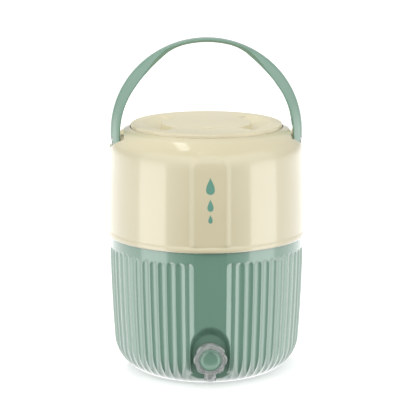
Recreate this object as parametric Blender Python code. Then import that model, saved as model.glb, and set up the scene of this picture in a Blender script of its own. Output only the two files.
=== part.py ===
"""Insulated water jug with a bail handle, a screw lid and a push-button tap.

All sizes are in metres. +Z is up, the jug stands on z = 0 and the tap faces -Y.
Each object below is one physical piece and is named after it.
"""

import math

import bmesh
import bpy
from mathutils import Matrix, Vector

GAP = 0.0003
FINE = 48
MEDIUM = 32
SMALL = 20

# Lower body: line of the sharp ridges between the flutes, from the foot to the rim.
FOOT_R = 0.0834
CORNER_R = 0.0500
BODY_CREST = [(0.1366, 0.1054), (0.1389, 0.1780), (0.1391, 0.1840)]
BODY_RIM_R = 0.1390
BODY_RIM_Z = 0.2150
BODY_WALL = 0.0034
FIRST_RIDGE = 14.6
FLUTE_COUNT = 60
FLUTE_PITCH = (360.0 - 2.0 * FIRST_RIDGE) / FLUTE_COUNT
FLUTE_DEPTH = 0.0017
PANEL_HALF_ANGLE = 9.3
CHAMFER_ANGLE = 12.9
CHAMFER_DROP = 0.0022

# Tap recess in the front of the lower body.
RECESS_BACK_Y = -0.1180
RECESS_WALL = 0.0030
RECESS_HALF = 0.0235
RECESS_TOP = 0.0762
RECESS_FRONT_Y = -0.1500
RECESS_FRONT_HALF = 0.0300
RECESS_FRONT_TOP = 0.1090

# Upper cover.
COVER_LIP_Z = 0.1995
COVER_OUTER = [
    (0.1425, COVER_LIP_Z), (0.1437, 0.2025), (0.1430, 0.2100), (0.1422, 0.2566),
    (0.1403, 0.3004), (0.1392, 0.3200), (0.1374, 0.3290), (0.1340, 0.3355),
    (0.1280, 0.3422), (0.1200, 0.3484), (0.1100, 0.3530),
]
COVER_INNER = [
    (0.1408, 0.1900), (0.1408, 0.2035), (0.1392, 0.2566), (0.1373, 0.3004),
    (0.1353, 0.3262), (0.1300, 0.3353), (0.1215, 0.3410), (0.1120, 0.3405),
]
COVER_TOP_Z = 0.3532
MOUTH_R = 0.1088
LEDGE_R = 0.1038
LEDGE_Z = 0.3435
PANEL_ARCH_HALF = 0.0240
PANEL_ARCH_Z = 0.3150
PANEL_ARCH_RISE = 0.0007

# Handle.
PIVOT_Z = 0.3330
ARCH_Z = 0.3437
ARCH_X = 0.1372
ARCH_RISE = 0.1358
ARM_HALF_DEPTH = 0.0125
ARM_INNER_X = 0.1230
NOTCH_X = 0.1175
NOTCH_TILT = 63.0
PIVOT_BOSS_X = 0.1225
PIVOT_BOSS_R = 0.0085
NOTCH_CLEAR = 0.0147
HANDLE_THICKNESS = [
    (0.0, 0.0062), (15.0, 0.0062), (20.0, 0.0068), (25.0, 0.0085), (30.0, 0.0112),
    (36.0, 0.0135), (43.0, 0.0150), (55.0, 0.0160), (72.0, 0.0157), (90.0, 0.0142),
]
HANDLE_DEPTH = [(0.0, 0.0120), (25.0, 0.0118), (43.0, 0.0122), (90.0, ARM_HALF_DEPTH)]

# Lid.
LID_R = 0.1078
LID_TOP_Z = 0.3580
LID_UNDER_Z = 0.3552
LID_SKIRT_Z = 0.3500
POCKET_INNER_R = 0.0640
POCKET_OUTER_R = 0.0925
POCKET_HALF_ANGLE = 47.0
POCKET_DEPTH = 0.0118
POCKET_WALL = 0.0023
PLUG_R = 0.0955

# Liner.
LINER_R = 0.1130
LINER_WALL = 0.0025
LINER_FLOOR_Z = 0.0240
NECK_R = 0.1030
PAD_FRONT_Y = -0.1142
PAD_BACK_Y = -0.1050

# Tap, all measured along its own axis.
TAP_Z = 0.0475
BARREL_R = 0.0098
BARREL_END_Y = -0.0930
CHAMBER_R = 0.0205
BEZEL_R = 0.0236
BEZEL_FRONT_Y = -0.1437
BUTTON_R = 0.0153
SPOUT_Y = -0.1275
SPOUT_R = 0.0088
SPOUT_END_Z = 0.0145

# Base.
PLATE_R = 0.0787
BASE_SCREW_R = 0.0745
FLANGE_Z = 0.0075


def clear_scene():
    for item in list(bpy.data.objects):
        bpy.data.objects.remove(item, do_unlink=True)


def make_material(name, colour, roughness, metallic=0.0, alpha=1.0):
    material = bpy.data.materials.new(name)
    material.use_nodes = True
    shader = material.node_tree.nodes["Principled BSDF"]
    shader.inputs["Base Color"].default_value = (*colour, 1.0)
    shader.inputs["Roughness"].default_value = roughness
    shader.inputs["Metallic"].default_value = metallic
    shader.inputs["Alpha"].default_value = alpha
    return material


def add_object(name, work, material=None):
    bmesh.ops.recalc_face_normals(work, faces=work.faces)
    mesh = bpy.data.meshes.new(name)
    work.to_mesh(mesh)
    work.free()
    item = bpy.data.objects.new(name, mesh)
    bpy.context.scene.collection.objects.link(item)
    if material:
        item.data.materials.append(material)
    return item


def interpolate(table, value):
    """Read a smooth value from a table of (position, value) pairs."""
    if value <= table[0][0]:
        return table[0][1]
    for (a, low), (b, high) in zip(table, table[1:]):
        if value <= b:
            part = (value - a) / (b - a)
            return low + (high - low) * part
    return table[-1][1]


def skin_rings(work, rings, closed=False):
    """Join rings of equal length with faces. A ring of one vertex is a tip."""
    pairs = list(zip(rings, rings[1:]))
    if closed:
        pairs.append((rings[-1], rings[0]))
    for low, high in pairs:
        count = max(len(low), len(high))
        for i in range(count):
            j = (i + 1) % count
            corners = [low[i % len(low)], low[j % len(low)], high[j % len(high)], high[i % len(high)]]
            unique = list(dict.fromkeys(corners))
            if len(unique) > 2:
                work.faces.new(unique)


def lathe(name, profile, segments, material=None, axis="Z", centre=(0.0, 0.0, 0.0)):
    """Turn a closed outline of (radius, height) pairs about an axis.

    An outline that starts and ends on the axis gives a solid, any other gives a ring.
    """
    work = bmesh.new()
    rings = []
    for radius, height in profile:
        if radius < 1e-6:
            rings.append([work.verts.new((0.0, 0.0, height))])
            continue
        ring = []
        for i in range(segments):
            angle = 2.0 * math.pi * i / segments
            ring.append(work.verts.new((radius * math.cos(angle), radius * math.sin(angle), height)))
        rings.append(ring)
    solid = profile[0][0] < 1e-6 and profile[-1][0] < 1e-6
    skin_rings(work, rings, closed=not solid)
    turn = {
        "Z": Matrix.Identity(4),
        "Y": Matrix(((1, 0, 0, 0), (0, 0, 1, 0), (0, -1, 0, 0), (0, 0, 0, 1))),
        "X": Matrix(((0, 0, 1, 0), (0, 1, 0, 0), (-1, 0, 0, 0), (0, 0, 0, 1))),
    }[axis]
    bmesh.ops.transform(work, matrix=Matrix.Translation(centre) @ turn, verts=work.verts)
    return add_object(name, work, material)


def loft(name, sections, material=None):
    """Skin a list of closed sections and cap both ends."""
    work = bmesh.new()
    rings = [[work.verts.new(point) for point in section] for section in sections]
    skin_rings(work, rings)
    work.faces.new(rings[0])
    work.faces.new(rings[-1])
    return add_object(name, work, material)


def combine(target, tool, operation):
    """Apply an exact Boolean to the target at once."""
    modifier = target.modifiers.new("combine", "BOOLEAN")
    modifier.operation = operation
    modifier.solver = "EXACT"
    modifier.object = tool
    bpy.context.view_layer.update()
    graph = bpy.context.evaluated_depsgraph_get()
    mesh = bpy.data.meshes.new_from_object(target.evaluated_get(graph))
    target.modifiers.clear()
    target.data = mesh
    bpy.data.objects.remove(tool, do_unlink=True)
    tidy_mesh(target)
    return target


def tidy_mesh(target):
    """Merge points that a Boolean left on top of each other."""
    work = bmesh.new()
    work.from_mesh(target.data)
    bmesh.ops.remove_doubles(work, verts=work.verts, dist=2e-6)
    bmesh.ops.dissolve_degenerate(work, edges=work.edges, dist=2e-6)
    work.to_mesh(target.data)
    work.free()


def cut(target, *tools):
    for tool in tools:
        combine(target, tool, "DIFFERENCE")
    return target


def join(target, *tools):
    for tool in tools:
        combine(target, tool, "UNION")
    return target


def rod(radius, start, end, axis, centre=(0.0, 0.0, 0.0), segments=SMALL):
    """A plain cylinder used as a tool."""
    outline = [(0.0, start), (radius, start), (radius, end), (0.0, end)]
    return lathe("tool", outline, segments, axis=axis, centre=centre)


# ---------------------------------------------------------------- lower body

def body_columns():
    """Angles from the front of the jug, with what the surface is there."""
    columns = [
        (-CHAMFER_ANGLE, "chamfer"), (-PANEL_HALF_ANGLE, "crest"),
        (PANEL_HALF_ANGLE, "crest"), (CHAMFER_ANGLE, "chamfer"),
    ]
    for i in range(FLUTE_COUNT):
        ridge = FIRST_RIDGE + FLUTE_PITCH * i
        columns.append((ridge, "crest"))
        columns.append((ridge + FLUTE_PITCH * 0.3, "flute"))
        columns.append((ridge + FLUTE_PITCH * 0.7, "flute"))
    columns.append((360.0 - FIRST_RIDGE, "crest"))
    return columns


def body_rows():
    """Rows of (ridge radius, height, share of the flute depth)."""
    rows = []
    shares = {-90: 0.0, -58: 0.4, -28: 1.0, 0: 1.0}
    for degrees, share in shares.items():
        angle = math.radians(degrees)
        radius = FOOT_R + CORNER_R * math.cos(angle)
        rows.append((radius, CORNER_R + CORNER_R * math.sin(angle), share))
    rows.append((*BODY_CREST[0], 1.0))
    rows.append((*BODY_CREST[1], 1.0))
    rows.append((*BODY_CREST[2], 0.0))
    rows.append((BODY_RIM_R, BODY_RIM_Z, 0.0))
    return rows


def body_ring(radius, height, share):
    ring = []
    for degrees, kind in body_columns():
        drop = {"crest": 0.0, "flute": FLUTE_DEPTH * share, "chamfer": CHAMFER_DROP}[kind]
        if kind == "chamfer" and height < CORNER_R:
            drop = CHAMFER_DROP * share
        angle = math.radians(degrees)
        reach = radius - drop
        ring.append((reach * math.sin(angle), -reach * math.cos(angle), height))
    return ring


def body_inner_outline(shrink):
    """Outline of the space inside the lower body, from its axis at the floor to above the rim."""
    outline = [(0.0, FLANGE_Z + shrink)]
    inner = CORNER_R - BODY_WALL - shrink
    for degrees in (-64.0, -45.0, -22.0, 0.0):
        angle = math.radians(degrees)
        height = max(FLANGE_Z + shrink, CORNER_R + inner * math.sin(angle))
        outline.append((FOOT_R + inner * math.cos(angle), height))
    for radius, height in BODY_CREST[:2]:
        outline.append((radius - BODY_WALL - shrink, height))
    return outline


def recess_block(grow, back_y):
    """Arched block that widens towards the front. grow adds to its sides and top."""
    sections = []
    for y, half, top in (
        (back_y, RECESS_HALF, RECESS_TOP),
        (RECESS_FRONT_Y, RECESS_FRONT_HALF, RECESS_FRONT_TOP),
    ):
        width = half + grow
        section = [(-width, y, -0.0100), (width, y, -0.0100)]
        for i in range(13):
            angle = math.pi * i / 12
            section.append((width * math.cos(angle), y, top - half + width * math.sin(angle)))
        sections.append(section)
    return loft("tool", sections)


def panel_backing(grow):
    """Wedge that keeps wall behind the flat front panel."""
    half = 0.0310 + grow
    sections = []
    for y_low, y_high in ((-0.1262 + grow, -0.1314 + grow), (-0.1600, -0.1600)):
        section = [(-half, y_low, 0.0200), (half, y_low, 0.0200)]
        section += [(half, y_high, 0.2300), (-half, y_high, 0.2300)]
        sections.append(section)
    return loft("tool", sections)


def build_outer_body(material):
    work = bmesh.new()
    rings = [[work.verts.new(point) for point in body_ring(*row)] for row in body_rows()]
    skin_rings(work, rings)
    work.faces.new(rings[0])
    work.faces.new(rings[-1])
    body = add_object("outer_body", work, material)
    outline = body_inner_outline(0.0)
    outline += [(BODY_CREST[1][0] - BODY_WALL, 0.2300), (0.0, 0.2300)]
    cavity = lathe("tool", outline, MEDIUM)
    cut(cavity, panel_backing(0.0), recess_block(RECESS_WALL, RECESS_BACK_Y + RECESS_WALL))
    cut(body, cavity, recess_block(0.0, RECESS_BACK_Y))
    cut(body, rod(0.0790, -0.0050, 0.0045, "Z", segments=MEDIUM))
    cut(body, rod(0.0700, 0.0020, 0.0120, "Z", segments=MEDIUM))
    cut(body, rod(BARREL_R + GAP, -0.1400, -0.1000, "Y", (0.0, 0.0, TAP_Z)))
    for x, y in base_screw_places():
        cut(body, rod(0.0018, 0.0020, 0.0120, "Z", (x, y, 0.0), 12))
    return body


def base_screw_places():
    places = []
    for i in range(4):
        angle = math.radians(45.0 + 90.0 * i)
        places.append((BASE_SCREW_R * math.cos(angle), BASE_SCREW_R * math.sin(angle)))
    return places


def build_base(plate_material, steel):
    outline = [(0.0, 0.0014), (PLATE_R, 0.0014), (PLATE_R, 0.0042), (0.0, 0.0042)]
    plate = lathe("base_plate", outline, MEDIUM, plate_material)
    for x, y in base_screw_places():
        cut(plate, rod(0.0018, -0.0020, 0.0100, "Z", (x, y, 0.0), 12))
    outline = [
        (0.0, 0.0002), (0.0030, 0.0002), (0.0034, 0.0006), (0.0034, 0.0011),
        (0.0015, 0.0011), (0.0015, 0.0072), (0.0, 0.0072),
    ]
    for i, (x, y) in enumerate(base_screw_places()):
        lathe(f"base_screw_{i + 1}", outline, 12, steel, centre=(x, y, 0.0))


# --------------------------------------------------------------- upper cover

def notch_block(clear, inner_x, side):
    """Space that one handle arm sweeps through, as a block along X."""
    tilt = math.radians(NOTCH_TILT)
    outline = []
    start = math.radians(270.0) - (math.pi / 2.0 - tilt)
    end = math.radians(270.0) + (math.pi / 2.0 - tilt)
    reach = 0.1000
    first = (clear * math.cos(start), clear * math.sin(start))
    last = (clear * math.cos(end), clear * math.sin(end))
    outline.append((first[0] - reach * math.sin(tilt), first[1] + reach * math.cos(tilt)))
    for i in range(5):
        angle = start + (end - start) * i / 4
        outline.append((clear * math.cos(angle), clear * math.sin(angle)))
    outline.append((last[0] + reach * math.sin(tilt), last[1] + reach * math.cos(tilt)))
    outline.append((outline[-1][0], 0.0600))
    outline.append((outline[0][0], 0.0600))
    sections = []
    for x in (inner_x, 0.1600):
        sections.append([(side * x, y, PIVOT_Z + z) for y, z in outline])
    return loft("tool", sections)


def offset_cover(offset):
    """Solid under the cover's outer face, moved outwards by an offset."""
    outline = [(0.0, COVER_OUTER[1][1]), (COVER_OUTER[1][0] - 0.0012, COVER_OUTER[1][1])]
    for radius, height in COVER_OUTER[2:]:
        outline.append((radius + offset, height + offset * 0.6))
    outline.append((0.0, outline[-1][1]))
    return lathe("tool", outline, FINE)


def arch_panel():
    """Thin raised panel inside an arch on the cover's front face."""
    section_front = []
    section_back = []
    points = [(-PANEL_ARCH_HALF, 0.1900), (PANEL_ARCH_HALF, 0.1900)]
    for i in range(13):
        angle = math.pi * i / 12
        points.append((PANEL_ARCH_HALF * math.cos(angle), PANEL_ARCH_Z + PANEL_ARCH_HALF * math.sin(angle)))
    for x, z in points:
        section_front.append((x, -0.1600, z))
        section_back.append((x, -0.1100, z))
    panel = loft("tool", [section_front, section_back])
    combine(panel, offset_cover(PANEL_ARCH_RISE), "INTERSECT")
    return cut(panel, offset_cover(-0.0010))


def build_upper_cover(material):
    outline = [(0.0, COVER_LIP_Z), *COVER_OUTER, (0.0, COVER_TOP_Z)]
    outline.insert(-1, (MOUTH_R - 0.0005, COVER_TOP_Z))
    cover = lathe("upper_cover", outline, FINE, material)
    outline = [(0.0, COVER_INNER[0][1]), *COVER_INNER, (0.0, COVER_INNER[-1][1])]
    cavity = lathe("tool", outline, FINE)
    pivot = (0.0, 0.0, PIVOT_Z)
    for side in (-1.0, 1.0):
        cut(cavity, notch_block(NOTCH_CLEAR + 0.0030, NOTCH_X - 0.0030, side))
        ends = sorted((side * 0.1100, side * 0.1300))
        cut(cavity, rod(0.0060, *ends, "X", pivot, 16))
    cut(cover, cavity)
    for side in (-1.0, 1.0):
        cut(cover, notch_block(NOTCH_CLEAR, NOTCH_X, side))
        ends = sorted((side * 0.1160, side * PIVOT_BOSS_X))
        join(cover, rod(PIVOT_BOSS_R, *ends, "X", pivot, 16))
        ends = sorted((side * 0.1110, side * 0.1400))
        cut(cover, rod(0.0025, *ends, "X", pivot, 12))
    join(cover, arch_panel())
    cut(cover, rod(MOUTH_R, LEDGE_Z, 0.3700, "Z", segments=FINE))
    cut(cover, rod(LEDGE_R, 0.3300, 0.3600, "Z", segments=FINE))
    return cover


# -------------------------------------------------------------------- handle

def handle_section(outer, inner, half_depth, soft):
    """Rounded section between an outer and an inner point of the arch."""
    across = Vector((outer[0] - inner[0], 0.0, outer[1] - inner[1]))
    thick = across.length
    across.normalize()
    soft = min(soft, thick * 0.45, half_depth * 0.45)
    corners = [
        (soft, -half_depth), (thick - soft, -half_depth), (thick, -half_depth + soft),
        (thick, half_depth - soft), (thick - soft, half_depth), (soft, half_depth),
        (0.0, half_depth - soft), (0.0, -half_depth + soft),
    ]
    base = Vector((inner[0], 0.0, inner[1]))
    return [tuple(base + across * a + Vector((0.0, y, 0.0))) for a, y in corners]


def handle_sections():
    sections = []
    legs = []
    for drop in (-0.0120, -0.0095, -0.0060, 0.0):
        half = math.sqrt(ARM_HALF_DEPTH ** 2 - drop ** 2)
        legs.append((PIVOT_Z + drop, half))
    for height, half in legs:
        sections.append(handle_section((-ARCH_X, height), (-ARM_INNER_X, height), half, 0.0025))
    for i in range(31):
        phi = -90.0 + 6.0 * i
        angle = math.radians(phi)
        outer = (ARCH_X * math.sin(angle), ARCH_Z + ARCH_RISE * math.cos(angle))
        thick = interpolate(HANDLE_THICKNESS, abs(phi))
        scale_x = (ARCH_X - thick) / ARCH_X
        scale_z = (ARCH_RISE - thick) / ARCH_RISE
        inner = (outer[0] * scale_x, ARCH_Z + (outer[1] - ARCH_Z) * scale_z)
        half = interpolate(HANDLE_DEPTH, abs(phi))
        sections.append(handle_section(outer, inner, half, 0.0025))
    for height, half in reversed(legs):
        sections.append(handle_section((ARCH_X, height), (ARM_INNER_X, height), half, 0.0025))
    return sections


def build_handle(material, steel, bush_material):
    handle = loft("handle", handle_sections(), material)
    place = (0.0, 0.0, PIVOT_Z)
    for name, side in (("left", -1.0), ("right", 1.0)):
        ends = sorted((side * 0.1150, side * 0.1500))
        cut(handle, rod(0.0065, *ends, "X", place, 16))
        ends = sorted((side * 0.1333, side * 0.1500))
        cut(handle, rod(0.0079, *ends, "X", place, 16))
        outline = [
            (0.0043, side * 0.1228), (0.0062, side * 0.1228),
            (0.0062, side * 0.1330), (0.0043, side * 0.1330),
        ]
        lathe(f"pivot_bush_{name}", outline, 16, bush_material, "X", place)
        outline = [
            (0.0, side * 0.1113), (0.0022, side * 0.1113), (0.0022, side * 0.1228),
            (0.0040, side * 0.1228), (0.0040, side * 0.1334), (0.0074, side * 0.1334),
            (0.0074, side * 0.1350), (0.0050, side * 0.1366), (0.0, side * 0.1368),
        ]
        lathe(f"pivot_screw_{name}", outline, 16, steel, "X", place)


# ----------------------------------------------------------------------- lid

def sector_block(radii, angles, floor, top):
    """Solid between a floor surface and a flat top over part of a ring."""
    work = bmesh.new()
    low = []
    high = []
    for angle in angles:
        turn = math.radians(angle)
        low.append([work.verts.new((r * math.cos(turn), r * math.sin(turn), floor(r, angle))) for r in radii])
        high.append([work.verts.new((r * math.cos(turn), r * math.sin(turn), top)) for r in radii])
    for i in range(len(angles) - 1):
        for j in range(len(radii) - 1):
            work.faces.new((low[i][j], low[i][j + 1], low[i + 1][j + 1], low[i + 1][j]))
            work.faces.new((high[i][j], high[i + 1][j], high[i + 1][j + 1], high[i][j + 1]))
        work.faces.new((low[i][0], low[i + 1][0], high[i + 1][0], high[i][0]))
        work.faces.new((low[i][-1], high[i][-1], high[i + 1][-1], low[i + 1][-1]))
    for j in range(len(radii) - 1):
        work.faces.new((low[0][j], high[0][j], high[0][j + 1], low[0][j + 1]))
        work.faces.new((low[-1][j], low[-1][j + 1], high[-1][j + 1], high[-1][j]))
    return add_object("tool", work)


def pocket_floor(extra, middle):
    """Depth of a finger pocket: deep beside the centre disc, rising to the rim."""
    def floor(radius, angle):
        run = (radius - POCKET_INNER_R) / (POCKET_OUTER_R - POCKET_INNER_R)
        run = min(1.0, max(0.0, run))
        ramp = 1.0 - run ** 1.3
        swing = abs(angle - middle) / POCKET_HALF_ANGLE
        fade = max(0.0, 1.0 - min(1.0, swing) ** 4)
        return LID_TOP_Z - 0.0002 - POCKET_DEPTH * ramp * (0.25 + 0.75 * fade) - extra
    return floor


def build_lid_top(material):
    outline = [
        (0.0, LID_UNDER_Z), (0.1048, LID_UNDER_Z), (0.1048, LID_SKIRT_Z), (LID_R, LID_SKIRT_Z),
        (LID_R, 0.3555), (0.1071, 0.3573), (0.1052, LID_TOP_Z), (0.0, LID_TOP_Z),
    ]
    lid = lathe("lid_top", outline, FINE, material)
    steps = [-1.0, -0.85, -0.6, -0.3, 0.0, 0.3, 0.6, 0.85, 1.0]
    for middle in (0.0, 180.0):
        half = POCKET_HALF_ANGLE + 2.0
        angles = [middle + half * s for s in steps]
        radii = [POCKET_INNER_R - 0.0023, 0.0720, 0.0790, 0.0850, 0.0900]
        join(lid, sector_block(radii, angles, pocket_floor(POCKET_WALL, middle), 0.3570))
    for middle in (0.0, 180.0):
        angles = [middle + POCKET_HALF_ANGLE * s for s in steps]
        radii = [POCKET_INNER_R, 0.0660, 0.0720, 0.0790, 0.0860, POCKET_OUTER_R]
        cut(lid, sector_block(radii, angles, pocket_floor(0.0, middle), 0.3700))
    cut(lid, thumb_notch())
    return lid


def thumb_notch():
    """Shallow smile-shaped dip in front of the lid's centre."""
    work = bmesh.new()
    bmesh.ops.create_uvsphere(work, u_segments=20, v_segments=10, radius=1.0)
    for vertex in work.verts:
        x, y, z = vertex.co
        bend = -0.0035 * (1.0 - x * x)
        vertex.co = Vector((0.0195 * x, -0.0465 + 0.0050 * y + bend, LID_TOP_Z + 0.0020 * z))
    return add_object("tool", work)


def build_lid_inside(plug_material, foam_material, rubber):
    outline = [
        (0.0, 0.3150), (0.0915, 0.3150), (PLUG_R, 0.3190), (PLUG_R, 0.3497), (0.1040, 0.3497),
        (0.1040, 0.3522), (0.0932, 0.3522), (0.0932, 0.3200), (0.0905, 0.3175), (0.0, 0.3175),
    ]
    lathe("lid_plug", outline, MEDIUM, plug_material)
    outline = [(0.0, 0.3178), (0.0900, 0.3178), (0.0928, 0.3203), (0.0928, 0.3420), (0.0, 0.3420)]
    lathe("lid_foam", outline, MEDIUM, foam_material)
    outline = [(0.0985, 0.3468), (0.1045, 0.3468), (0.1045, 0.3482), (0.1035, 0.3494), (0.0985, 0.3494)]
    lathe("lid_gasket", outline, MEDIUM, rubber)


# --------------------------------------------------------- liner, insulation

def build_liner(material):
    inner = LINER_R - LINER_WALL
    floor = LINER_FLOOR_Z + LINER_WALL
    outline = [
        (0.0, LINER_FLOOR_Z), (0.1075, LINER_FLOOR_Z), (0.1115, 0.0257), (LINER_R, 0.0300),
        (LINER_R, 0.3000), (NECK_R, 0.3180), (NECK_R, 0.3438), (0.1082, 0.3438), (0.1082, 0.3465),
        (0.1005, 0.3465), (0.1005, 0.3170), (inner, 0.2985), (inner, 0.0305), (0.1068, floor),
        (0.0, floor),
    ]
    liner = lathe("liner", outline, MEDIUM, material)
    axis = (0.0, 0.0, TAP_Z)
    join(liner, rod(0.0185, PAD_FRONT_Y, PAD_BACK_Y, "Y", axis))
    cut(liner, rod(BARREL_R + GAP, -0.1300, -0.0900, "Y", axis))
    return liner


def build_insulation(material):
    outline = body_inner_outline(GAP)
    outline += [(BODY_CREST[1][0] - BODY_WALL - GAP, 0.3120), (0.1110, 0.3120)]
    outline += [(LINER_R + GAP + 0.0002, 0.3010), (LINER_R + GAP + 0.0002, 0.0299)]
    outline += [(0.1117, 0.0252), (0.1076, LINER_FLOOR_Z - GAP), (0.0, LINER_FLOOR_Z - GAP)]
    foam = lathe("insulation", outline, MEDIUM, material)
    cut(foam, panel_backing(GAP), recess_block(RECESS_WALL + GAP, RECESS_BACK_Y + RECESS_WALL + GAP))
    cut(foam, rod(0.0190, -0.1200, -0.1000, "Y", (0.0, 0.0, TAP_Z)))
    return foam


# ----------------------------------------------------------------------- tap

def build_tap_body(material):
    axis = (0.0, 0.0, TAP_Z)
    outline = [
        (BARREL_R, BARREL_END_Y), (BARREL_R, -0.1203), (CHAMBER_R, -0.1203), (CHAMBER_R, -0.1398),
        (0.0180, -0.1398), (0.0180, -0.1315), (0.0036, -0.1315), (0.0036, -0.1300),
        (0.0178, -0.1300), (0.0178, -0.1238), (0.0070, -0.1238), (0.0070, BARREL_END_Y),
    ]
    body = lathe("tap_body", outline, SMALL, material, "Y", axis)
    spout = (0.0, SPOUT_Y, 0.0)
    join(body, rod(SPOUT_R, SPOUT_END_Z, TAP_Z - 0.0182, "Z", spout))
    cut(body, rod(SPOUT_R - 0.0022, 0.0100, TAP_Z - 0.0228, "Z", spout))
    cut(body, rod(0.0037, 0.0200, TAP_Z - 0.0160, "Z", spout, 16))
    return body


def build_bezel(material):
    """Ring with eight soft lobes that keeps the button in."""
    work = bmesh.new()
    count = 48
    rows = [
        (0.0, -0.1366, 0.0208), (1.0, -0.1366, 0.0), (1.0, -0.1418, 0.0), (0.6, BEZEL_FRONT_Y, 0.0),
        (0.0, BEZEL_FRONT_Y, 0.0157), (0.0, -0.1401, 0.0157), (0.0, -0.1401, 0.0208),
    ]
    rings = []
    for share, y, plain in rows:
        ring = []
        for i in range(count):
            angle = 2.0 * math.pi * i / count
            radius = plain
            if share > 0.0:
                wave = 0.5 + 0.5 * math.cos(8.0 * angle)
                radius = BEZEL_R - 0.0016 * (1.0 - wave) - 0.0022 * (1.0 - share)
            ring.append(work.verts.new((radius * math.cos(angle), y, TAP_Z + radius * math.sin(angle))))
        rings.append(ring)
    skin_rings(work, rings, closed=True)
    return add_object("tap_bezel", work, material)


def build_button(material):
    outline = [
        (0.0, -0.1413), (0.0070, -0.1417), (0.0115, -0.1431), (0.0143, -0.1432), (BUTTON_R, -0.1423),
        (BUTTON_R, -0.1397), (0.0176, -0.1397), (0.0176, -0.1380), (BUTTON_R, -0.1380),
        (BUTTON_R, -0.1365), (0.0130, -0.1365), (0.0130, -0.1394), (0.0, -0.1394),
    ]
    return lathe("tap_button", outline, SMALL, material, "Y", (0.0, 0.0, TAP_Z))


def build_spring(material):
    """Open coil between the chamber wall and the button."""
    turns = 3.0
    steps = 36
    wire = 0.0003
    mean = 0.0075
    start = -0.1318
    end = -0.1387
    work = bmesh.new()
    rings = []
    for i in range(steps + 1):
        part = i / steps
        angle = 2.0 * math.pi * turns * part
        outward = Vector((math.cos(angle), 0.0, math.sin(angle)))
        centre = outward * mean + Vector((0.0, start + (end - start) * part, TAP_Z))
        ring = []
        for j in range(5):
            around = 2.0 * math.pi * j / 5
            offset = outward * wire * math.cos(around) + Vector((0.0, wire * math.sin(around), 0.0))
            ring.append(work.verts.new(centre + offset))
        rings.append(ring)
    skin_rings(work, rings)
    work.faces.new(rings[0])
    work.faces.new(rings[-1])
    return add_object("tap_spring", work, material)


def build_tap_small_parts(stem_material, rubber, nut_material):
    axis = (0.0, 0.0, TAP_Z)
    outline = [
        (0.0, -0.1390), (0.0030, -0.1390), (0.0030, -0.0894), (0.0056, -0.0894),
        (0.0056, -0.0881), (0.0, -0.0879),
    ]
    lathe("tap_stem", outline, 16, stem_material, "Y", axis)
    outline = [(0.0033, -0.0927), (0.0088, -0.0927), (0.0088, -0.0905), (0.0078, -0.0897), (0.0033, -0.0897)]
    lathe("tap_valve_seal", outline, SMALL, rubber, "Y", axis)
    outline = [(0.0101, -0.1200), (0.0165, -0.1200), (0.0165, -0.1183), (0.0101, -0.1183)]
    lathe("tap_outer_gasket", outline, SMALL, rubber, "Y", axis)
    outline = [(0.0101, -0.1047), (0.0170, -0.1047), (0.0170, -0.1033), (0.0101, -0.1033)]
    lathe("tap_inner_gasket", outline, SMALL, rubber, "Y", axis)
    outline = []
    for i in range(8):
        angle = 2.0 * math.pi * i / 8
        outline.append((0.0045 + 0.0009 * math.cos(angle), -0.1288 + 0.0009 * math.sin(angle)))
    lathe("stem_o_ring", outline, 16, rubber, "Y", axis)
    outline = [
        (0.0101, -0.1030), (0.0166, -0.1030), (0.0166, -0.0972), (0.0160, -0.0966), (0.0101, -0.0966),
    ]
    lathe("tap_lock_nut", outline, 6 * 4, nut_material, "Y", axis)


def main():
    clear_scene()
    cream = make_material("cream_gloss", (0.72, 0.64, 0.46), 0.18)
    green = make_material("green_gloss", (0.26, 0.42, 0.33), 0.20)
    clear = make_material("clear_plastic", (0.90, 0.93, 0.92), 0.08, alpha=0.45)
    white = make_material("white_plastic", (0.85, 0.85, 0.83), 0.35)
    rubber = make_material("silicone", (0.80, 0.81, 0.79), 0.55)
    steel = make_material("steel", (0.56, 0.56, 0.57), 0.28, metallic=1.0)
    foam = make_material("foam", (0.83, 0.75, 0.52), 0.90)
    build_outer_body(green)
    build_base(green, steel)
    build_upper_cover(cream)
    build_liner(white)
    build_insulation(foam)
    build_lid_top(cream)
    build_lid_inside(white, foam, rubber)
    build_handle(green, steel, white)
    build_tap_body(clear)
    build_bezel(clear)
    build_button(green)
    build_spring(steel)
    build_tap_small_parts(white, rubber, white)


main()
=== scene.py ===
"""Looks of the insulated water jug: fine moulded shells, a clear tap and soft studio light.

Lengths are in metres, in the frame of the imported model: +Z is up and the tap faces -Y.
Angles round the jug are in degrees from the front (-Y) towards +X.
"""

import math

import bmesh
import bpy
import numpy as np
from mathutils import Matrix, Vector

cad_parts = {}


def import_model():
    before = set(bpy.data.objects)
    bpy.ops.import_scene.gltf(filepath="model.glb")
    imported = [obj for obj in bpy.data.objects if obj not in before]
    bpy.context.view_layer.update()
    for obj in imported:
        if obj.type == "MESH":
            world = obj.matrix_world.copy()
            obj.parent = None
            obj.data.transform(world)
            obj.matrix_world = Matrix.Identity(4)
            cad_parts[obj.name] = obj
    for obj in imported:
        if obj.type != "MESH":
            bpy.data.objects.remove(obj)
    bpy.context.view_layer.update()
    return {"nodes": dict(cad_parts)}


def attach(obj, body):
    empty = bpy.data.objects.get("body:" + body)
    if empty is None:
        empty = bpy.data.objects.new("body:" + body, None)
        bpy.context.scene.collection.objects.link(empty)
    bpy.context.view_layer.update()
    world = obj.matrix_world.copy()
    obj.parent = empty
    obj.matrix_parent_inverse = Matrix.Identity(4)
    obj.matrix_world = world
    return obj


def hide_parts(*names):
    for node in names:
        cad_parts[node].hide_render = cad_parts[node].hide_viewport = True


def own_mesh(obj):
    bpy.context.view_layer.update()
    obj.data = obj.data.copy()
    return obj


# Shortest side of a corner, which only guards a division.
SHORTEST = 1e-12

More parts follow.
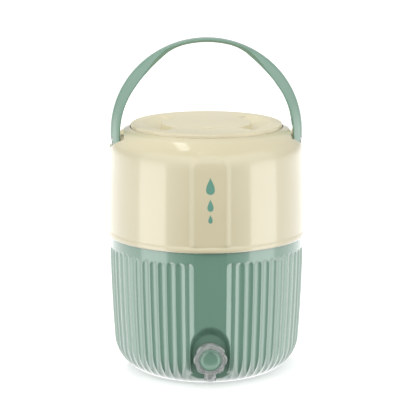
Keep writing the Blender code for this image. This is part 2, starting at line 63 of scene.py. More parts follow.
# Lower body.
FOOT_R = 0.0834
CORNER_R = 0.0500
CREST_HEIGHTS = [0.0458, 0.0780, 0.1054, 0.1420, 0.1780, 0.1950, 0.2150]
CREST_RADII = [0.13322, 0.13530, 0.13665, 0.13805, 0.13890, 0.13910, 0.13900]
BODY_RIM_Z = 0.2150
BODY_WALL = 0.0034
BASE_SCREW_CIRCLE = 0.0745
BARREL_HOLE_R = 0.0101
PANEL_EDGE = 9.3
FIRST_RIDGE = 14.6
FLUTE_COUNT = 60
FLUTE_PITCH = (360.0 - 2.0 * FIRST_RIDGE) / FLUTE_COUNT
FLUTE_DEPTH = 0.0019
FLUTE_TOP_Z = 0.1850
FLUTE_STEPS = [0.0, 0.012, 0.035, 0.10, 0.20, 0.34, 0.50, 0.66, 0.80, 0.90, 0.965, 0.988]
RIDGE_SOFTNESS = 0.05
FOOT_FADE = (0.0035, 0.0230)
CHAMFER_DEPTH = 0.0024
CHAMFER_SHARE = 0.66

# Recess behind the tap.
RECESS_BACK_Y = -0.1180
RECESS_HALF = 0.0235
RECESS_CENTRE_Z = 0.0527
RECESS_SIDE_FLARE = 0.0045
RECESS_TOP_FLARE = 0.0180

# Upper cover.
COVER_SHOULDER = [
    (0.1430, 0.2105), (0.1422, 0.2566), (0.1403, 0.3004), (0.1392, 0.3200), (0.1374, 0.3290),
    (0.1340, 0.3355), (0.1280, 0.3422), (0.1200, 0.3484), (0.1104, 0.3528),
]
ARCH_HALF = 0.0215
ARCH_CENTRE_Z = 0.3150
ARCH_RISE = 0.0003
ARCH_EDGE_RISE = 0.0011
ARCH_BEVEL = 0.0075
ARCH_FADE = (0.2060, 0.2110)
FRONT_ANGLE = 30.0
MOUTH_Z = 0.3520
PIVOT_Z = 0.3330
NOTCH_X = 0.1175
NOTCH_TILT = 63.0
NOTCH_CLEAR = 0.0147
NOTCH_WALL = 0.0028
PIVOT_BOSS_X = 0.1225
PIVOT_BOSS_R = 0.0085

# Printed mark: how far its back lies under the cover's skin, and its whole thickness.
PRINT_SUNK = 0.00004
PRINT_THICK = 0.00016

# Handle.
BOW_Z = 0.3437
BOW_X = 0.1372
BOW_RISE = 0.1358
BOW_THICKNESS = [
    (0.0, 0.0062), (15.0, 0.0062), (20.0, 0.0068), (25.0, 0.0085), (30.0, 0.0112),
    (36.0, 0.0135), (43.0, 0.0150), (55.0, 0.0160), (72.0, 0.0149), (90.0, 0.0142),
]
BOW_HALF_DEPTH = [(0.0, 0.0120), (25.0, 0.0118), (43.0, 0.0122), (90.0, 0.0125)]
ARM_HALF_DEPTH = 0.0125

# Lid.
LID_R = 0.1078
LID_TOP_Z = 0.3580
LID_UNDER_Z = 0.3552
POCKET_INNER_R = 0.0640
POCKET_OUTER_R = 0.0925
POCKET_HALF_ANGLE = 47.0
POCKET_DEPTH = 0.0118
POCKET_WALL = 0.0023

# Tap.
TAP_Z = 0.0475
SPOUT_Y = -0.1275
SPRING_R = 0.0075
SPRING_WIRE = 0.00035
SPRING_TURNS = 4.0
SPRING_BACK_Y = -0.1319
SPRING_FRONT_Y = -0.1386

# Studio: brightness round the jug, as (share of the way from the front to the back, level).
LOW_RING = [
    (0.0, 0.05), (0.11, 0.08), (0.20, 0.22), (0.268, 0.34), (0.282, 0.86), (0.462, 0.86), (0.485, 0.46),
    (0.72, 0.46), (0.90, 0.42), (1.0, 0.40),
]
HIGH_RING = [
    (0.0, 0.38), (0.11, 0.40), (0.20, 0.42), (0.285, 0.42), (0.44, 0.40), (0.53, 0.22), (0.72, 0.16),
    (0.90, 0.14), (1.0, 0.14),
]
RING_POWER = 4.0
SKY_LEVEL = 0.65
HORIZON_BAND = (-0.18, 0.16)
SKY_BAND = (0.55, 0.90)
BACKGROUND_LEVEL = 1.05


# ------------------------------------------------------------- mesh helpers

def smoothstep(value, low, high):
    share = np.clip((value - low) / (high - low), 0.0, 1.0)
    return share * share * (3.0 - 2.0 * share)


def table(pairs, value):
    places, readings = zip(*pairs)
    return np.interp(value, places, readings)


def spline(points, steps):
    """Smooth curve through the points, as a Catmull-Rom spline."""
    knots = np.array(points, float)
    knots = np.vstack([2 * knots[0] - knots[1], knots, 2 * knots[-1] - knots[-2]])
    curve = []
    for i in range(1, len(knots) - 2):
        a, b, c, d = knots[i - 1:i + 3]
        for k in range(steps):
            t = k / steps
            curve.append(0.5 * (2 * b + (c - a) * t + (2 * a - 5 * b + 4 * c - d) * t ** 2
                                + (3 * b - a - 3 * c + d) * t ** 3))
    curve.append(knots[-2])
    return np.array(curve)


def soft_path(corners, steps=4, closed=False):
    """Line through corners of (across, along, rounding) with each corner rounded."""
    points = [np.array(corner[:2], float) for corner in corners]
    last = len(corners) - 1
    path = []
    for i, here in enumerate(points):
        rounding = corners[i][2]
        if rounding <= 0.0 or (not closed and i in (0, last)):
            path.append(here)
            continue
        before = points[i - 1] - here
        after = points[(i + 1) % len(points)] - here
        start = here + before * min(0.49, rounding / max(np.linalg.norm(before), SHORTEST))
        end = here + after * min(0.49, rounding / max(np.linalg.norm(after), SHORTEST))
        for k in range(steps + 1):
            t = k / steps
            path.append((1 - t) ** 2 * start + 2 * t * (1 - t) * here + t ** 2 * end)
    return np.array(path)


def link_mesh(name, mesh, material):
    item = bpy.data.objects.new(name, mesh)
    bpy.context.scene.collection.objects.link(item)
    if material:
        mesh.materials.append(material)
    return item


def shade(item, degrees=38.0):
    mesh = item.data
    mesh.polygons.foreach_set("use_smooth", [True] * len(mesh.polygons))
    mesh.set_sharp_from_angle(angle=math.radians(degrees))
    return item


def clean(item, distance=1e-6):
    """Merge points in the same place, and turn all faces outwards."""
    work = bmesh.new()
    work.from_mesh(item.data)
    bmesh.ops.remove_doubles(work, verts=work.verts, dist=distance)
    bmesh.ops.dissolve_degenerate(work, edges=work.edges, dist=distance)
    bmesh.ops.recalc_face_normals(work, faces=work.faces)
    work.to_mesh(item.data)
    work.free()
    return item


def grid_object(name, grid, material=None, wrap_rows=False, caps=False):
    """Skin a grid of points. Columns always close on themselves."""
    rows, columns = grid.shape[:2]
    numbers = np.arange(rows * columns).reshape(rows, columns)
    if wrap_rows:
        numbers = np.vstack([numbers, numbers[:1]])
    right = np.roll(numbers, -1, axis=1)
    faces = np.stack([numbers[:-1], right[:-1], right[1:], numbers[1:]], axis=-1).reshape(-1, 4).tolist()
    if caps:
        faces.append(numbers[0].tolist())
        faces.append(numbers[-1].tolist())
    mesh = bpy.data.meshes.new(name)
    mesh.from_pydata(grid.reshape(-1, 3).tolist(), [], faces)
    return shade(clean(link_mesh(name, mesh, material)))


def lathe(name, path, segments, material=None, axis="Z", centre=(0.0, 0.0, 0.0), closed=False):
    """Turn a line of (radius, height) about an axis. A line that isn't closed starts and ends on it."""
    turns = np.linspace(0.0, 2.0 * math.pi, segments, endpoint=False)
    radius = np.array(path)[:, :1]
    height = np.repeat(np.array(path)[:, 1:2], segments, axis=1)
    first = radius * np.cos(turns)
    second = radius * np.sin(turns)
    order = {"Z": (first, second, height), "Y": (first, height, second), "X": (height, first, second)}
    grid = np.stack(order[axis], axis=-1) + np.array(centre)
    return grid_object(name, grid, material, wrap_rows=closed)


def rod(radius, start, end, axis, centre=(0.0, 0.0, 0.0), segments=48):
    return lathe("tool", [(0.0, start), (radius, start), (radius, end), (0.0, end)], segments,
                 axis=axis, centre=centre)


def combine(target, tool, operation):
    """Apply an exact Boolean to the target at once."""
    modifier = target.modifiers.new("combine", "BOOLEAN")
    modifier.operation = operation
    modifier.solver = "EXACT"
    modifier.object = tool
    bpy.context.view_layer.update()
    graph = bpy.context.evaluated_depsgraph_get()
    mesh = bpy.data.meshes.new_from_object(target.evaluated_get(graph))
    target.modifiers.clear()
    target.data = mesh
    bpy.data.objects.remove(tool, do_unlink=True)
    return shade(clean(target, 2e-6))


def merge(*items):
    """Put separate closed tools into one object without joining their solids."""
    work = bmesh.new()
    for item in items:
        work.from_mesh(item.data)
        bpy.data.objects.remove(item, do_unlink=True)
    mesh = bpy.data.meshes.new("tool")
    work.to_mesh(mesh)
    work.free()
    return link_mesh("tool", mesh, None)


def loft(name, sections, material=None):
    return grid_object(name, np.array(sections, float), material, caps=True)


# ---------------------------------------------------------------- materials

def colour_value(red, green, blue):
    """Linear colour from the usual 0 to 255 screen values."""
    linear = []
    for value in (red, green, blue):
        share = value / 255.0
        linear.append(share / 12.92 if share <= 0.04045 else ((share + 0.055) / 1.055) ** 2.4)
    return (*linear, 1.0)


def new_material(name):
    material = bpy.data.materials.new(name)
    material.use_nodes = True
    tree = material.node_tree
    return material, tree, tree.nodes["Principled BSDF"]


def noise(tree, scale, detail=2.0, roughness=0.5):
    place = tree.nodes.new("ShaderNodeTexCoord")
    node = tree.nodes.new("ShaderNodeTexNoise")
    node.inputs["Scale"].default_value = scale
    node.inputs["Detail"].default_value = detail
    node.inputs["Roughness"].default_value = roughness
    tree.links.new(place.outputs["Object"], node.inputs["Vector"])
    return node.outputs["Fac"]


def between(tree, factor, low, high):
    """Read a 0 to 1 factor as a number between two limits."""
    node = tree.nodes.new("ShaderNodeMapRange")
    node.inputs["From Min"].default_value = 0.3
    node.inputs["From Max"].default_value = 0.7
    node.inputs["To Min"].default_value = low
    node.inputs["To Max"].default_value = high
    tree.links.new(factor, node.inputs["Value"])
    return node.outputs["Result"]


def two_tones(tree, factor, first, second):
    node = tree.nodes.new("ShaderNodeMix")
    node.data_type = "RGBA"
    tree.links.new(factor, node.inputs["Factor"])
    node.inputs["A"].default_value = first
    node.inputs["B"].default_value = second
    return node.outputs["Result"]


def add_bump(tree, shader, height, strength, distance):
    node = tree.nodes.new("ShaderNodeBump")
    node.inputs["Strength"].default_value = strength
    node.inputs["Distance"].default_value = distance
    tree.links.new(height, node.inputs["Height"])
    tree.links.new(node.outputs["Normal"], shader.inputs["Normal"])


def moulded(name, colour, roughness, grain=700.0, relief=0.00002, coat=0.0):
    """Glossy injection-moulded plastic with a faint cloudiness and a fine moulded grain."""
    material, tree, shader = new_material(name)
    base = colour_value(*colour)
    lighter = tuple(min(1.0, value * 1.012) for value in base[:3]) + (1.0,)
    darker = tuple(value * 0.988 for value in base[:3]) + (1.0,)
    cloud = between(tree, noise(tree, 7.0, 1.0), 0.0, 1.0)
    tree.links.new(two_tones(tree, cloud, darker, lighter), shader.inputs["Base Color"])
    polish = between(tree, noise(tree, 30.0, 1.0), roughness - 0.012, roughness + 0.012)
    tree.links.new(polish, shader.inputs["Roughness"])
    add_bump(tree, shader, noise(tree, grain, 1.0), 0.20, relief)
    shader.inputs["IOR"].default_value = 1.55
    shader.inputs["Coat Weight"].default_value = coat
    shader.inputs["Coat Roughness"].default_value = 0.07
    return material


def clear_plastic(name):
    """Clear, slightly milky plastic of the tap."""
    material, tree, shader = new_material(name)
    cloud = between(tree, noise(tree, 220.0, 3.0), 0.0, 1.0)
    tone = two_tones(tree, cloud, colour_value(214, 220, 217), colour_value(246, 249, 247))
    tree.links.new(tone, shader.inputs["Base Color"])
    polish = between(tree, noise(tree, 400.0, 2.0), 0.05, 0.14)
    tree.links.new(polish, shader.inputs["Roughness"])
    add_bump(tree, shader, noise(tree, 160.0, 2.0), 0.30, 0.0003)
    shader.inputs["IOR"].default_value = 1.49
    shader.inputs["Transmission Weight"].default_value = 0.78
    return material


def brushed_steel(name):
    material, tree, shader = new_material(name)
    streak = between(tree, noise(tree, 260.0, 5.0), 0.0, 1.0)
    tone = two_tones(tree, streak, colour_value(176, 178, 180), colour_value(206, 208, 210))
    tree.links.new(tone, shader.inputs["Base Color"])
    tree.links.new(between(tree, streak, 0.22, 0.36), shader.inputs["Roughness"])
    add_bump(tree, shader, noise(tree, 1400.0, 2.0), 0.30, 0.00002)
    shader.inputs["Metallic"].default_value = 1.0
    return material


def silicone(name):
    material, tree, shader = new_material(name)
    cloud = between(tree, noise(tree, 60.0, 2.0), 0.0, 1.0)
    tone = two_tones(tree, cloud, colour_value(222, 223, 219), colour_value(234, 235, 231))
    tree.links.new(tone, shader.inputs["Base Color"])
    tree.links.new(between(tree, noise(tree, 300.0), 0.48, 0.60), shader.inputs["Roughness"])
    add_bump(tree, shader, noise(tree, 900.0, 2.0), 0.4, 0.00004)
    shader.inputs["Sheen Weight"].default_value = 0.2
    return material


def insulating_foam(name):
    """Rigid foam with open cells."""
    material, tree, shader = new_material(name)
    place = tree.nodes.new("ShaderNodeTexCoord")
    cells = tree.nodes.new("ShaderNodeTexVoronoi")
    cells.inputs["Scale"].default_value = 650.0
    tree.links.new(place.outputs["Object"], cells.inputs["Vector"])
    tone = two_tones(tree, cells.outputs["Distance"], colour_value(206, 186, 120),
                     colour_value(240, 226, 172))
    tree.links.new(tone, shader.inputs["Base Color"])
    add_bump(tree, shader, cells.outputs["Distance"], 0.6, 0.0006)
    shader.inputs["Roughness"].default_value = 0.9
    return material


def make_materials():
    return {
        "cream": moulded("cream_gloss", (211, 202, 168), 0.19, coat=1.0),
        "green": moulded("green_gloss", (109, 147, 128), 0.19, coat=1.0),
        "cream_lid": moulded("cream_satin", (214, 205, 174), 0.30),
        "white": moulded("white_plastic", (232, 232, 228), 0.36, grain=500.0),
        "print": moulded("print_green", (96, 150, 132), 0.42, grain=1500.0, relief=0.00001),
        "clear": clear_plastic("clear_plastic"),
        "steel": brushed_steel("brushed_steel"),
        "silicone": silicone("silicone"),
        "foam": insulating_foam("rigid_foam"),
    }


# --------------------------------------------------------------- lower body

def body_columns():
    """Angles round the body, close together at the ridges and where the recess turns."""
    edge = np.concatenate([np.arange(8.8, 14.5, 0.14), [14.52, 14.57]])
    middle = np.linspace(-8.8, 8.8, 50)[1:-1]
    flutes = FIRST_RIDGE + FLUTE_PITCH * np.add.outer(np.arange(FLUTE_COUNT), FLUTE_STEPS).ravel()
    return np.concatenate([-edge[::-1], middle, edge, flutes, [360.0 - FIRST_RIDGE]])


def crest_radius(height):
    """Radius of the ridges between the flutes, from the foot to the rim."""
    fine = spline(list(zip(CREST_HEIGHTS, CREST_RADII)), 8)
    upper = np.interp(height, fine[:, 0], fine[:, 1])
    rise = np.clip(CORNER_R - height, 0.0, CORNER_R)
    lower = FOOT_R + np.sqrt(np.maximum(CORNER_R ** 2 - rise ** 2, 0.0))
    return np.where(height < CREST_HEIGHTS[0], lower, upper)


def body_heights():
    """Row heights of the outside, from the rim down to the foot."""
    rows = [BODY_RIM_Z, 0.2080, 0.2010, 0.1960, 0.1910]
    rows += list(np.arange(0.1880, 0.1745, -0.0007))
    rows += list(np.arange(0.1710, 0.0960, -0.0055))
    rows += list(np.arange(0.0945, 0.0745, -0.0007))
    rows += list(np.arange(0.0740, 0.0530, -0.0012))
    rows += [0.0505, 0.0480]
    for degrees in np.arange(-5.5, -87.0, -2.7):
        rows.append(CORNER_R + CORNER_R * math.sin(math.radians(degrees)))
    return rows


def panel_drop(angle, radius):
    """How far the flat front panel lies below the round line of the ridges."""
    turn = np.minimum(np.abs(angle), PANEL_EDGE)
    plane = radius * math.cos(math.radians(PANEL_EDGE))
    return radius - plane / np.cos(np.radians(turn))


def flute_profile(turn):
    """Depth below the ridges, and the place across each flute from -1 to 1."""
    phase = (turn - FIRST_RIDGE) / FLUTE_PITCH
    across = 2.0 * (phase - np.floor(phase)) - 1.0
    hollow = 1.0 - across ** 2
    soft = np.hypot(hollow, RIDGE_SOFTNESS) - RIDGE_SOFTNESS
    return FLUTE_DEPTH * soft / (math.hypot(1.0, RIDGE_SOFTNESS) - RIDGE_SOFTNESS), across


def chamfer_profile(turn):
    """Depth and place across of the channel beside the front panel: a long chamfer, then a short wall."""
    share = np.clip((turn - PANEL_EDGE) / (FIRST_RIDGE - PANEL_EDGE), 0.0, 1.0)
    falling = share / CHAMFER_SHARE
    rising = (1.0 - share) / (1.0 - CHAMFER_SHARE)
    bend = 5.0
    depth = -np.log(np.exp(-bend * falling) + np.exp(-bend * rising)) / bend
    return CHAMFER_DEPTH * np.maximum(depth, 0.0), 2.0 * share - 1.0


def groove_drop(angle, height):
    """Hollow flutes between sharp ridges, with arched tops and a fading foot."""
    turn = np.abs(np.where(angle > 180.0, angle - 360.0, angle))
    flute, across = flute_profile(turn)
    chamfer, beside = chamfer_profile(turn)
    first = turn < FIRST_RIDGE
    depth = np.where(first, chamfer, flute)
    across = np.where(first, beside, across)
    end = FLUTE_TOP_Z - 0.0045 * across ** 2
    top = 1.0 - smoothstep(height, end - 0.0050, end)
    foot = smoothstep(height, *FOOT_FADE)
    return depth * top * foot


def recess_share(x, z, grow):
    """1 on the back wall of the tap recess, fading to 0 outside its flared sides."""
    up = z - RECESS_CENTRE_Z
    reach = np.where(up > 0.0, np.hypot(x, up), np.abs(x))
    climb = np.where(up > 0.0, up / np.maximum(np.hypot(x, up), 1e-6), 0.0) ** 2
    flare = RECESS_SIDE_FLARE + (RECESS_TOP_FLARE - RECESS_SIDE_FLARE) * climb
    return 1.0 - smoothstep((reach - RECESS_HALF - grow) / flare, 0.0, 1.0)


def body_row(columns, radius, height, groove, back_y, grow, push=1.0):
    """One ring of points, with the flat panel and, where asked for, the flutes and the recess."""
    crest = np.full_like(columns, radius)
    fade = smoothstep(height, 0.0, CORNER_R * 0.8)
    drop = panel_drop(np.where(columns > 180.0, columns - 360.0, columns), crest) * fade
    if groove:
        drop = drop + groove_drop(columns, height)
    reach = crest - drop
    x = reach * np.sin(np.radians(columns))
    y = -reach * np.cos(np.radians(columns))
    share = recess_share(x, height, grow) * push
    inward = np.where((y < back_y) & (np.abs(x) < 0.06), (back_y - y) * share, 0.0)
    return np.stack([x, y + inward, np.full_like(x, height)], axis=-1)


def body_shell(material):
    columns = body_columns()
    grid = []
    for height in body_heights():
        grid.append(body_row(columns, float(crest_radius(np.array(height))), height, True,
                             RECESS_BACK_Y, 0.0))
    foot = [(0.0834, 0.0), (0.0800, 0.0), (0.0793, 0.0008), (0.0793, 0.0045), (0.0700, 0.0045),
            (0.0700, 0.0075), (0.1025, 0.0075)]
    for radius, height in foot:
        grid.append(body_row(columns, radius, height, False, 1.0, 0.0, 0.0))
    back_y = RECESS_BACK_Y + 0.0030
    inner = CORNER_R - BODY_WALL
    for degrees in np.linspace(-63.0, -6.0, 12):
        turn = math.radians(degrees)
        grid.append(body_row(columns, FOOT_R + inner * math.cos(turn), CORNER_R + inner * math.sin(turn),
                             False, back_y, 0.0030))
    for height in [*np.arange(0.0510, 0.0980, 0.0025), 0.1100, 0.1500, 0.1900, BODY_RIM_Z]:
        radius = float(crest_radius(np.array(height))) - BODY_WALL
        grid.append(body_row(columns, radius, height, False, back_y, 0.0030))
    shell = grid_object("body_shell", np.array(grid), material, wrap_rows=True)
    holes = [rod(BARREL_HOLE_R, -0.1400, -0.1000, "Y", (0.0, 0.0, TAP_Z))]
    for degrees in (45.0, 135.0, 225.0, 315.0):
        turn = math.radians(degrees)
        place = (BASE_SCREW_CIRCLE * math.cos(turn), BASE_SCREW_CIRCLE * math.sin(turn), 0.0)
        holes.append(rod(0.0018, 0.0020, 0.0120, "Z", place, 16))
    return combine(shell, merge(*holes), "DIFFERENCE")


# -------------------------------------------------------------- upper cover

def cover_columns():
    front = np.arange(-12.6, 12.61, 0.225)
    rest = np.arange(13.8, 346.3, 1.2)
    return np.concatenate([front, rest])


def cover_outline():
    """Closed outline of the cover's wall, from the lip up the outside and back down the inside."""
    lip = soft_path([
        (0.1408, 0.2060, 0.0), (0.1408, 0.1992, 0.0007), (0.1426, 0.1992, 0.0012),
        (0.1439, 0.2012, 0.0016), (0.1437, 0.2052, 0.0020), (0.1430, 0.2078, 0.0012), (0.1430, 0.2105, 0.0),
    ], 5)
    outside = spline(COVER_SHOULDER, 10)
    fine = []
    for low, high in zip(outside, outside[1:]):
        count = max(1, int(np.ceil(np.linalg.norm(high - low) / 0.0030)))
        if high[1] > 0.3130 and low[1] < 0.3420:
            count = max(count, int(np.ceil(np.linalg.norm(high - low) / 0.0005)))
        for k in range(count):
            fine.append(low + (high - low) * k / count)
    mouth = soft_path([
        (0.1104, 0.3528, 0.0), (0.1092, 0.3532, 0.0006), (0.1088, 0.3524, 0.0004), (0.1088, 0.3435, 0.0),
        (0.1038, 0.3435, 0.0003), (0.1038, 0.3408, 0.0), (0.1120, 0.3405, 0.0), (0.1215, 0.3408, 0.0030),
        (0.1296, 0.3353, 0.0040), (0.1348, 0.3262, 0.0040), (0.1373, 0.3004, 0.0060), (0.1392, 0.2566, 0.0),
        (0.1405, 0.2120, 0.0),
    ], 3)
    return np.vstack([lip[:-1], fine, mouth])


def arch_rise(x, z):
    """How far the flatter arched front panel stands out, with a hollow bevel round it."""
    up = np.maximum(z - ARCH_CENTRE_Z, 0.0)
    outside = np.clip((np.hypot(x, up) - ARCH_HALF) / ARCH_BEVEL, 0.0, 1.0)
    across = np.minimum(np.hypot(x, up) / ARCH_HALF, 1.0)
    height = ARCH_RISE + ARCH_EDGE_RISE * across ** 2
    bevel = 1.0 - 0.5 * (outside + smoothstep(outside, 0.0, 1.0))
    return height * bevel * smoothstep(z, *ARCH_FADE)


def notch_block(clear, inner_x, side):
    """Space that one handle arm sweeps through, as a block along X."""
    tilt = math.radians(NOTCH_TILT)
    start = math.pi + tilt
    end = 2.0 * math.pi - tilt
    reach = 0.1000
    outline = [(clear * math.cos(start) - reach * math.sin(tilt),
                clear * math.sin(start) + reach * math.cos(tilt))]
    for angle in np.linspace(start, end, 13):
        outline.append((clear * math.cos(angle), clear * math.sin(angle)))
    outline.append((clear * math.cos(end) + reach * math.sin(tilt),
                    clear * math.sin(end) + reach * math.cos(tilt)))
    outline.append((outline[-1][0], 0.0600))
    outline.append((outline[0][0], 0.0600))
    sections = [[(side * x, y, PIVOT_Z + z) for y, z in outline] for x in (inner_x, 0.1600)]
    return loft("tool", sections)


def notch_pocket_walls(side):
    """Wall of the notch inside the cover, kept just under the cover's skin."""
    block = notch_block(NOTCH_CLEAR + NOTCH_WALL, NOTCH_X - 0.0030, side)
    skin = [(0.0, 0.3000)]
    for radius, height in COVER_SHOULDER:
        if height > 0.2990:
            skin.append((radius - 0.0012, height - 0.0012))
    skin.append((0.0, COVER_SHOULDER[-1][1] - 0.0012))
    return combine(block, lathe("tool", skin, 96), "INTERSECT")


def notch_cutter(side):
    """The swept space without the pivot boss, and with the screw's hole through it."""
    place = (0.0, 0.0, PIVOT_Z)
    block = notch_block(NOTCH_CLEAR, NOTCH_X, side)
    ends = sorted((side * 0.1100, side * PIVOT_BOSS_X))
    combine(block, rod(PIVOT_BOSS_R, *ends, "X", place), "DIFFERENCE")
    ends = sorted((side * 0.1110, side * 0.1400))
    return combine(block, rod(0.0025, *ends, "X", place, 24), "UNION")


def cover_shell(material):
    columns = cover_columns()
    near = (np.abs(np.where(columns > 180.0, columns - 360.0, columns)) < FRONT_ANGLE).astype(float)
    sines = np.sin(np.radians(columns))
    cosines = np.cos(np.radians(columns))
    grid = []
    inside = False
    for radius, height in cover_outline():
        inside = inside or height > MOUTH_Z
        rise = np.zeros_like(columns) if inside else arch_rise(radius * sines, height) * near
        reach = radius + rise
        grid.append(np.stack([reach * sines, -reach * cosines, np.full_like(columns, height)], axis=-1))
    cover = grid_object("cover_shell", np.array(grid), material, wrap_rows=True)
    for side in (-1.0, 1.0):
        combine(cover, notch_pocket_walls(side), "UNION")
    for side in (-1.0, 1.0):
        combine(cover, notch_cutter(side), "DIFFERENCE")
    return cover


# ------------------------------------------------------------------- handle

def arm_section(centre, outward, thick, half, change, channel):
    """One section of the handle.

    change runs from 0 on the arm to 1 on the grip: the arm's front face, which leans
    outwards, turns into an upper facet and a lower face that slopes under the hand.
    channel runs from 0 to 1 where a shallow channel follows the inner side.
    """
    upper = 1.0 - 0.85 * change ** 0.8
    lower = 1.0 - 0.58 * change ** 1.2
    dip = 0.0022 * smoothstep(change, 0.0, 0.35)
    under = 0.0034 * smoothstep(change, 0.05, 0.55)
    soft = min(0.0022, thick * 0.22)
    edge = max(0.0, thick - 0.0016)
    step = 0.0014 * channel
    scale = min(1.0, half / 0.0118)
    slope = 0.0068 * scale * (1.0 - change)
    front = [
        (0.0, 0.0, 0.0), (0.0003, -(half - 0.0034 * scale - dip - slope), 0.0030),
        (0.0016, -(half - dip - slope), soft),
        (max(0.0018, upper * edge * 0.48), -(half - dip - slope * 0.42), 0.0002 + 0.0028 * (1.0 - change)),
        (max(0.0020, upper * edge), -(half - dip), 0.0009), (max(0.0026, lower * edge), -half, 0.0008),
        (thick, -(half - under) + 0.0002, 0.0010), (thick, -(half - under) + 0.0026, 0.0003),
        (thick - step, -(half - under) + 0.0032, 0.0003),
    ]
    back = [(depth, -across, rounding) for depth, across, rounding in reversed(front[1:])]
    path = soft_path(front + back, 3, closed=True)
    points = []
    for depth, across in path:
        place = centre - outward * depth
        points.append((place[0], across, place[1]))
    return points


def handle_sections():
    """Sections from the left pivot over the grip to the right pivot."""
    legs = []
    for degrees in (84.0, 76.0, 66.0, 55.0, 44.0, 33.0, 22.0, 11.0):
        turn = math.radians(degrees)
        legs.append((PIVOT_Z - ARM_HALF_DEPTH * math.sin(turn), ARM_HALF_DEPTH * math.cos(turn)))
    legs += [(PIVOT_Z + 0.0010, ARM_HALF_DEPTH), (PIVOT_Z + 0.0060, ARM_HALF_DEPTH)]

    def leg(side, height, half):
        return arm_section(np.array([side * BOW_X, height]), np.array([side, 0.0]), 0.0142, half, 0.0, 0.0)

    sections = [leg(-1.0, *row) for row in legs]
    for degrees in np.arange(-90.0, 90.01, 1.5):
        turn = math.radians(degrees)
        place = np.array([BOW_X * math.sin(turn), BOW_Z + BOW_RISE * math.cos(turn)])
        outward = np.array([math.sin(turn) / BOW_X, math.cos(turn) / BOW_RISE])
        outward = outward / np.linalg.norm(outward)
        away = abs(degrees)
        change = float(np.clip((47.0 - away) / 23.0, 0.0, 1.0))
        channel = float(smoothstep(away, 50.0, 58.0) * (1.0 - smoothstep(away, 84.0, 89.0)))
        sections.append(arm_section(place, outward, float(table(BOW_THICKNESS, away)),
                                    float(table(BOW_HALF_DEPTH, away)), change, channel))
    sections += [leg(1.0, *row) for row in reversed(legs)]
    return sections


def carry_handle(material):
    handle = loft("carry_handle", handle_sections(), material)
    place = (0.0, 0.0, PIVOT_Z)
    for side in (-1.0, 1.0):
        ends = sorted((side * 0.1333, side * 0.1500))
        bore = rod(0.0079, *ends, "X", place, 64)
        ends = sorted((side * 0.1150, side * 0.1400))
        bore = combine(bore, rod(0.0065, *ends, "X", place, 64), "UNION")
        combine(handle, bore, "DIFFERENCE")
    return handle


def pivot_screw(name, side, material):
    """Shoulder screw with a crossed recess in its domed head."""
    path = soft_path([
        (0.0, 0.1113, 0.0), (0.0022, 0.1113, 0.0003), (0.0022, 0.1228, 0.0), (0.0040, 0.1228, 0.0003),
        (0.0040, 0.1334, 0.0), (0.0074, 0.1334, 0.0003), (0.0074, 0.1348, 0.0006), (0.0056, 0.1364, 0.0012),
        (0.0, 0.1368, 0.0),
    ], 4)
    path = [(radius, side * along) for radius, along in path]
    place = (0.0, 0.0, PIVOT_Z)
    screw = lathe(name, path, 64, material, "X", place)
    for wide, tall in ((0.0032, 0.0008), (0.0008, 0.0032)):
        sections = []
        for along, scale in ((0.1345, 0.55), (0.1380, 1.0)):
            sections.append([(side * along, wide * y * scale, PIVOT_Z + tall * z * scale)
                             for y, z in ((-1, -1), (1, -1), (1, 1), (-1, 1))])
        combine(screw, loft("tool", sections), "DIFFERENCE")
    return screw


# ---------------------------------------------------------------------- lid

def lid_columns():
    marks = [np.arange(0.0, 360.0, 3.0)]
    for middle in (90.0, 270.0):
        for end in (-POCKET_HALF_ANGLE, POCKET_HALF_ANGLE):
            marks.append(np.arange(middle + end - 5.0, middle + end + 5.01, 0.5))
    marks.append(np.arange(-27.0, 27.01, 0.5) % 360.0)
    turns = np.unique(np.round(np.concatenate(marks) % 360.0, 3))
    return turns


def lid_depth(x, y):
    """Depth of the two finger pockets and the thumb dip below the lid's top."""
    radius = np.hypot(x, y)
    swing = np.degrees(np.arctan2(np.abs(y), np.abs(x)))
    run = np.clip((radius - POCKET_INNER_R) / (POCKET_OUTER_R - POCKET_INNER_R), 0.0, 1.0)
    ramp = 1.0 - run ** 1.3
    wall = smoothstep(radius, POCKET_INNER_R - 0.0008, POCKET_INNER_R + 0.0012)
    sides = 1.0 - smoothstep(swing, POCKET_HALF_ANGLE - 3.2, POCKET_HALF_ANGLE + 0.8)
    bowl = 0.42 + 0.58 * (1.0 - np.clip(swing / POCKET_HALF_ANGLE, 0.0, 1.0) ** 3)
    pocket = POCKET_DEPTH * ramp * wall * sides * bowl
    u = x / 0.0195
    bend = -0.0465 - 0.0035 * (1.0 - np.clip(u, -1.0, 1.0) ** 2)
    v = (y - bend) / 0.0050
    hollow = np.clip(1.0 - u ** 2 - v ** 2, 0.0, 1.0)
    dip = 0.0034 * hollow ** 0.55
    return pocket + dip


